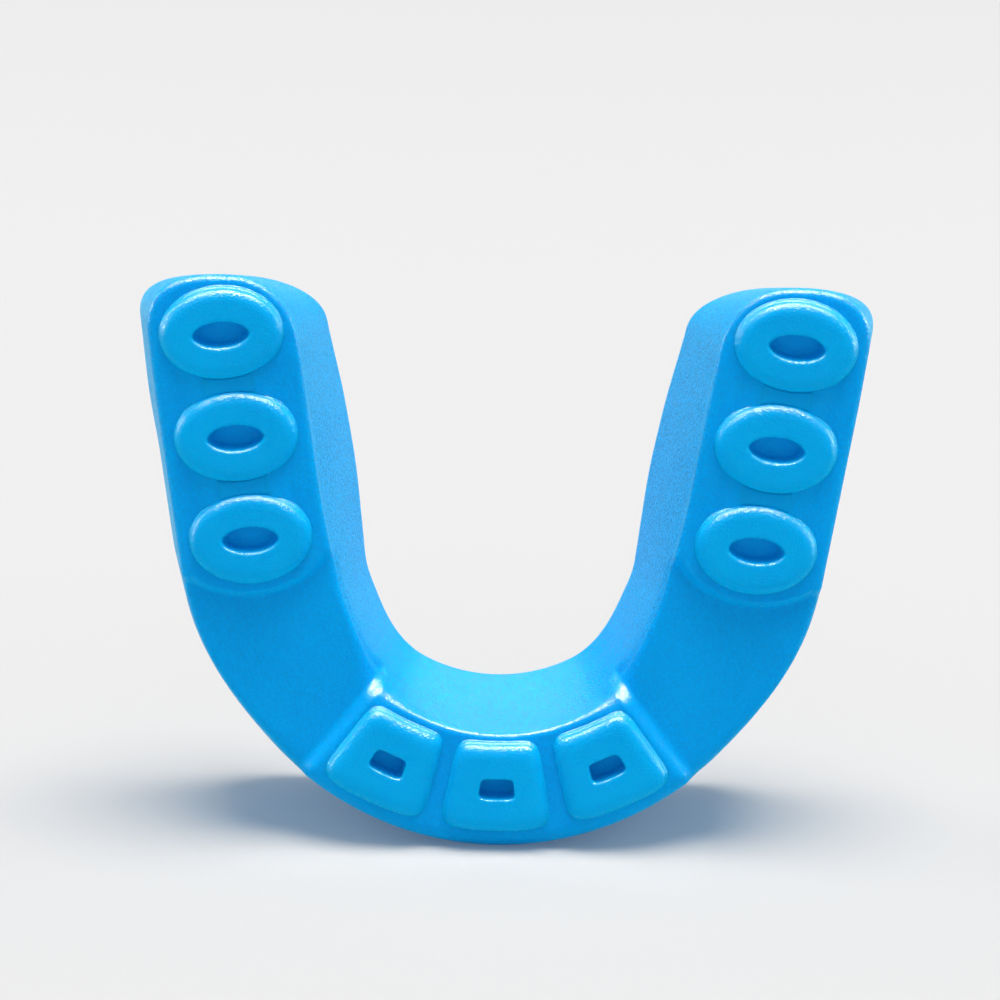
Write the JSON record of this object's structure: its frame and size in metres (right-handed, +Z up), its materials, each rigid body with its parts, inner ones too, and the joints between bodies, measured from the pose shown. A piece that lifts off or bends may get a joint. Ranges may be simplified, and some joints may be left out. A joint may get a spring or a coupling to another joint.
{
  "type": "mouthguard",
  "caption": "U-shaped boil-and-bite mouthguard: a soft trough for the upper teeth, with raised oval pads on the legs and keystone pads at the front of its bite face.",
  "frame": {"origin": "centre of the overall box in X and Y, on the surface that the guard stands on, which touches the lowest line of its front wall", "axes": "+X across the arch to the viewer's right, +Y from the bite face back to the rims of the trough, +Z up along the legs"},
  "size_m": [0.0631, 0.0206, 0.0498],
  "materials": {
    "shell": "satin",
    "liner": "matte",
    "pads": "satin"
  },
  "bodies": {
    "root": {"outer_shell": "shell", "fitting_liner": "liner", "left_rib_bridges": "pads", "right_rib_bridges": "pads", "left_premolar_pad": "pads", "left_first_molar_pad": "pads", "left_second_molar_pad": "pads", "right_premolar_pad": "pads", "right_first_molar_pad": "pads", "right_second_molar_pad": "pads", "left_incisor_pad": "pads", "centre_incisor_pad": "pads", "right_incisor_pad": "pads"}
  },
  "joints": []
}
